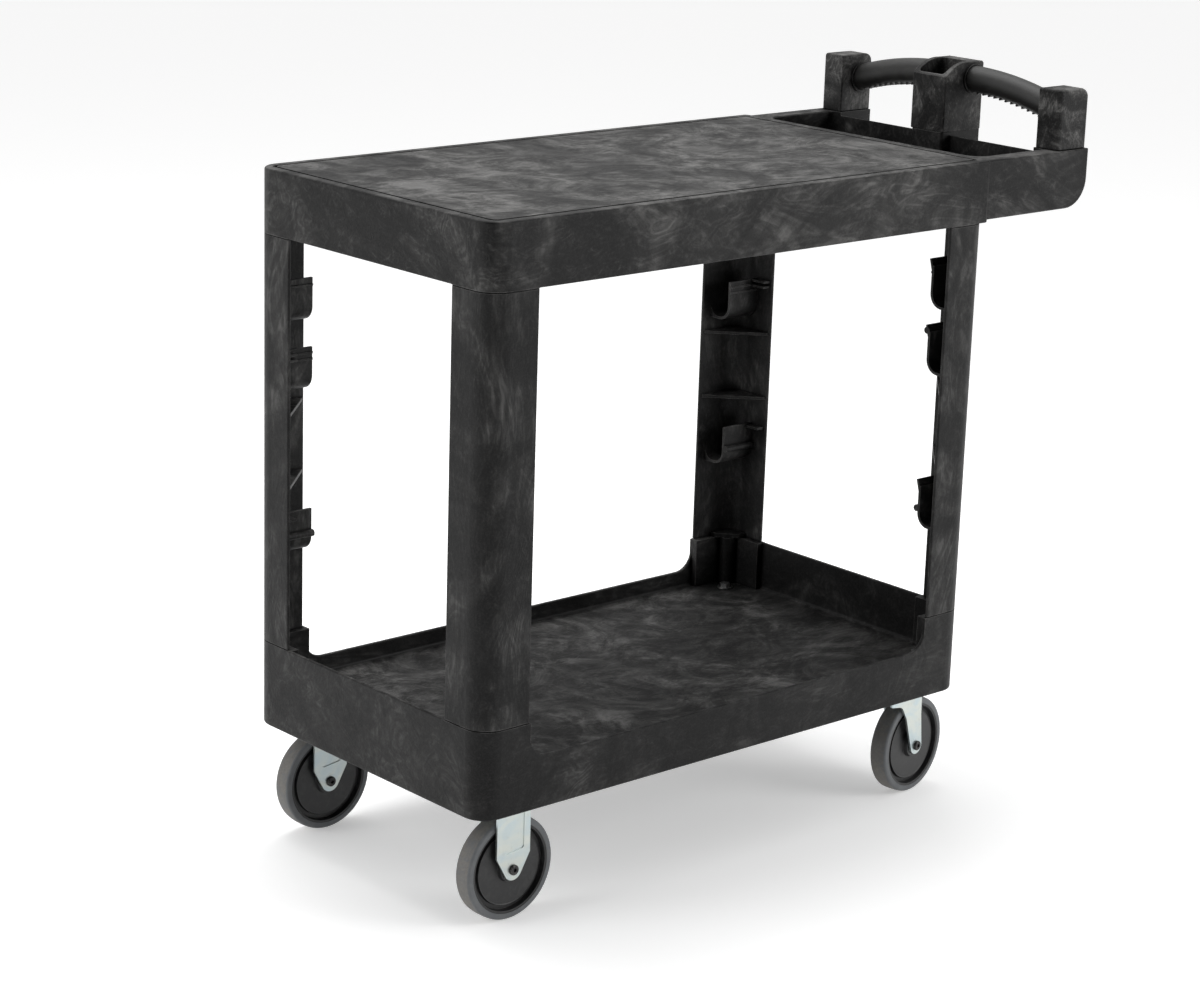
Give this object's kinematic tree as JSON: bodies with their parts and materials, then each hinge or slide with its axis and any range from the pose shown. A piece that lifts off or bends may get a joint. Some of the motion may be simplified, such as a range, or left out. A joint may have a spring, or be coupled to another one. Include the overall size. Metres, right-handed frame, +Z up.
{
  "type": "rolling utility cart",
  "caption": "Two-shelf moulded utility cart with corner posts, hooks inside the posts, a push handle with storage tray and pocket, rigid front casters and swivel casters at the handle.",
  "frame": {"origin": "on the floor, under the middle of the whole cart's length and width", "axes": "+X along the cart towards the handle, +Y across it, to the right of someone pushing the handle, +Z up"},
  "size_m": [1.021, 0.454, 0.9507],
  "materials": {
    "foam_plastic": "textured charcoal",
    "grip_plastic": "satin charcoal",
    "wheel_core_black": "moulded black",
    "tyre_grey": "matt grey, scuffed",
    "zinc_steel": "bright zinc plating",
    "fastener_steel": "zinc plated",
    "dark_steel": "dark plated",
    "bush_plastic": "natural nylon"
  },
  "bodies": {
    "cart": {"axle_bolt_front_left": "fastener_steel", "axle_bolt_front_right": "fastener_steel", "axle_nut_front_left": "fastener_steel", "axle_nut_front_right": "fastener_steel", "axle_sleeve_front_left": "fastener_steel", "axle_sleeve_front_right": "fastener_steel", "caster_bolts": "fastener_steel", "deck_bolts": "dark_steel", "deck_nuts": "dark_steel", "deck_washers": "dark_steel", "grip_left": "grip_plastic", "grip_right": "grip_plastic", "handle_screws": "fastener_steel", "handle_tower_left": "foam_plastic", "handle_tower_right": "foam_plastic", "kingpin_rear_left": "zinc_steel", "kingpin_rear_right": "zinc_steel", "lower_shelf": "foam_plastic", "post_foot_screws": "fastener_steel", "post_front_left": "foam_plastic", "post_front_right": "foam_plastic", "post_head_screws": "fastener_steel", "post_rear_left": "foam_plastic", "post_rear_right": "foam_plastic", "rigid_fork_front_left": "zinc_steel", "rigid_fork_front_right": "zinc_steel", "tool_holder": "foam_plastic", "top_plate_rear_left": "zinc_steel", "top_plate_rear_right": "zinc_steel", "upper_shelf": "foam_plastic"},
    "wheel_front_left": {"tyre_front_left": "tyre_grey", "wheel_bush_front_left": "bush_plastic", "wheel_core_front_left": "wheel_core_black"},
    "wheel_front_right": {"tyre_front_right": "tyre_grey", "wheel_bush_front_right": "bush_plastic", "wheel_core_front_right": "wheel_core_black"},
    "wheel_rear_left": {"tyre_rear_left": "tyre_grey", "wheel_bush_rear_left": "bush_plastic", "wheel_core_rear_left": "wheel_core_black"},
    "wheel_rear_right": {"tyre_rear_right": "tyre_grey", "wheel_bush_rear_right": "bush_plastic", "wheel_core_rear_right": "wheel_core_black"},
    "swivel_rear_left": {"axle_bolt_rear_left": "fastener_steel", "axle_nut_rear_left": "fastener_steel", "axle_sleeve_rear_left": "fastener_steel", "swivel_balls_rear_left": "fastener_steel", "swivel_fork_rear_left": "zinc_steel"},
    "swivel_rear_right": {"axle_bolt_rear_right": "fastener_steel", "axle_nut_rear_right": "fastener_steel", "axle_sleeve_rear_right": "fastener_steel", "swivel_balls_rear_right": "fastener_steel", "swivel_fork_rear_right": "zinc_steel"}
  },
  "joints": [
    {"name": "wheel_spin_front_left", "type": "hinge", "parent": "cart", "child": "wheel_front_left", "pos_m": [-0.4355, -0.183, 0.0655], "axis": [0, 1, 0], "continuous": true},
    {"name": "wheel_spin_front_right", "type": "hinge", "parent": "cart", "child": "wheel_front_right", "pos_m": [-0.4355, 0.183, 0.0655], "axis": [0, 1, 0], "continuous": true},
    {"name": "caster_swivel_rear_left", "type": "hinge", "parent": "cart", "child": "swivel_rear_left", "pos_m": [0.2405, -0.183, 0.15], "axis": [0, 0, 1], "continuous": true},
    {"name": "wheel_spin_rear_left", "type": "hinge", "parent": "swivel_rear_left", "child": "wheel_rear_left", "pos_m": [0.26971, -0.17889, 0.0655], "axis": [-0.1392, 0.9903, 0], "continuous": true},
    {"name": "caster_swivel_rear_right", "type": "hinge", "parent": "cart", "child": "swivel_rear_right", "pos_m": [0.2405, 0.183, 0.15], "axis": [0, 0, 1], "continuous": true},
    {"name": "wheel_spin_rear_right", "type": "hinge", "parent": "swivel_rear_right", "child": "wheel_rear_right", "pos_m": [0.26989, 0.18557, 0.0655], "axis": [-0.0872, 0.9962, 0], "continuous": true}
  ]
}
